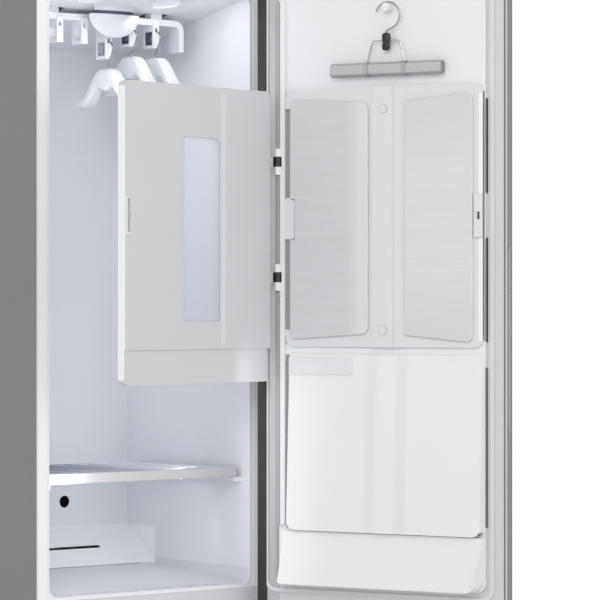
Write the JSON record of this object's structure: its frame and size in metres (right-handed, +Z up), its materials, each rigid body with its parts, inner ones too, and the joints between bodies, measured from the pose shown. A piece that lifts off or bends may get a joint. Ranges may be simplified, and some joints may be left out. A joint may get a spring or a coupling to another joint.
{
  "type": "clothes care steam cabinet",
  "caption": "Tall free-standing steam cabinet with a hinged door carrying a trouser press, a sliding hanger rack, a shelf and water tanks.",
  "frame": {"origin": "centre of the base on the floor", "axes": "+X to the right seen from the front, +Y to the back (the front faces -Y), +Z up"},
  "size_m": [0.8229, 1.1244, 1.96],
  "materials": {
    "case_steel": "satin dark gray coat",
    "door_steel": "satin dark gray coat",
    "zinc_steel": "galvanised",
    "liner_gray": "fine grain",
    "white_plastic": "smooth satin",
    "pad_gray": "fine horizontal brush",
    "chrome": "polished",
    "silver": "satin",
    "rubber": "matte",
    "black_plastic": "satin",
    "tinted_glass": "polished",
    "clear_plastic": "polished",
    "tank_plastic": "smoky clear"
  },
  "bodies": {
    "cabinet": {"outer_case": "case_steel", "back_panel": "zinc_steel", "base_tray": "zinc_steel", "leveling_foot_1": "rubber", "leveling_foot_2": "rubber", "leveling_foot_3": "rubber", "leveling_foot_4": "rubber", "interior_liner": "liner_gray", "ceiling_panel": "liner_gray", "lamp_lens_left": "clear_plastic", "lamp_lens_right": "clear_plastic", "rack_guide_rail": "chrome", "rack_drive_cover": "white_plastic", "rack_motor": "zinc_steel", "bay_front_panel": "liner_gray", "tank_bay": "liner_gray", "compressor": "case_steel", "blower_housing": "black_plastic", "exchanger_deck": "zinc_steel", "heat_exchangers": "silver", "steam_generator": "silver", "control_box": "black_plastic", "drain_pump": "black_plastic", "upper_hinge": "zinc_steel", "lower_hinge": "zinc_steel", "hinge_cover": "black_plastic"},
    "door": {"door_shell": "door_steel", "door_glass": "tinted_glass", "door_liner": "white_plastic", "door_gasket": "rubber", "display_panel": "black_plastic", "press_base": "white_plastic", "press_pad_hinge_side": "pad_gray", "press_pad_free_side": "pad_gray", "press_keeper": "silver", "press_hinge_strip": "white_plastic", "pocket_panel": "white_plastic", "door_scoop": "white_plastic", "trouser_peg": "white_plastic"},
    "cover": {"press_cover": "white_plastic", "press_cover_window": "clear_plastic", "press_latch_plate": "silver"},
    "latch": {"press_latch_slider": "chrome"},
    "trouser_hanger": {"trouser_bar": "pad_gray", "trouser_frame": "chrome", "trouser_clip": "black_plastic", "trouser_hook": "chrome"},
    "rack": {"hanger_rack": "white_plastic"},
    "hanger_1": {"hanger_1_body": "white_plastic", "hanger_1_hook": "chrome"},
    "hanger_2": {"hanger_2_body": "white_plastic", "hanger_2_hook": "chrome"},
    "hanger_3": {"hanger_3_body": "white_plastic", "hanger_3_hook": "chrome"},
    "shelf": {"shelf_rack": "white_plastic", "shelf_front_rail": "silver"},
    "fresh_water_tank": {"fresh_tank": "tank_plastic"},
    "drain_water_tank": {"drain_tank": "tank_plastic"},
    "filter": {"lint_filter": "white_plastic"},
    "fan": {"fan_wheel": "white_plastic"}
  },
  "joints": [
    {"name": "door_hinge", "type": "hinge", "parent": "cabinet", "child": "door", "pos_m": [0.292, -0.298, 0], "axis": [0, 0, 1], "range_deg": [-111.5, 8.5]},
    {"name": "cover_hinge", "type": "hinge", "parent": "door", "child": "cover", "pos_m": [0.27105, -0.36214, 1.36], "axis": [0, 0, 1], "range_deg": [-7.6, 98.8]},
    {"name": "latch_slide", "type": "slide", "parent": "cover", "child": "latch", "axis": [0, 0, 1], "range_m": [-0.026, 0.028]},
    {"name": "trouser_hanger_swing", "type": "hinge", "parent": "door", "child": "trouser_hanger", "pos_m": [0.36681, -0.61891, 1.8212], "axis": [-0.9304, -0.3665, 0], "range_deg": [-5, 5]},
    {"name": "rack_slide", "type": "slide", "parent": "cabinet", "child": "rack", "axis": [1, 0, 0], "range_m": [-0.015, 0.015]},
    {"name": "hanger_1_swing", "type": "hinge", "parent": "rack", "child": "hanger_1", "pos_m": [0, -0.102, 1.7505], "axis": [1, 0, 0], "range_deg": [-3, 3]},
    {"name": "hanger_2_swing", "type": "hinge", "parent": "rack", "child": "hanger_2", "pos_m": [0.065, -0.102, 1.7805], "axis": [1, 0, 0], "range_deg": [-3, 3]},
    {"name": "hanger_3_swing", "type": "hinge", "parent": "rack", "child": "hanger_3", "pos_m": [0.13, -0.102, 1.7805], "axis": [1, 0, 0], "range_deg": [-3, 3]},
    {"name": "shelf_slide", "type": "slide", "parent": "cabinet", "child": "shelf", "axis": [0, -1, 0], "range_m": [0, 0.25]},
    {"name": "fresh_tank_slide", "type": "slide", "parent": "cabinet", "child": "fresh_water_tank", "axis": [0, -1, 0], "range_m": [0, 0.2]},
    {"name": "drain_tank_slide", "type": "slide", "parent": "cabinet", "child": "drain_water_tank", "axis": [0, -1, 0], "range_m": [0, 0.2]},
    {"name": "filter_slide", "type": "slide", "parent": "cabinet", "child": "filter", "axis": [0, -1, 0], "range_m": [0, 0.155]},
    {"name": "fan_spin", "type": "hinge", "parent": "cabinet", "child": "fan", "pos_m": [0.13, 0.09, 0.15], "axis": [0, 1, 0], "continuous": true}
  ],
  "couplings": [
    {"joint": "cover_hinge", "follows": "door_hinge", "ratio": -0.886}
  ]
}
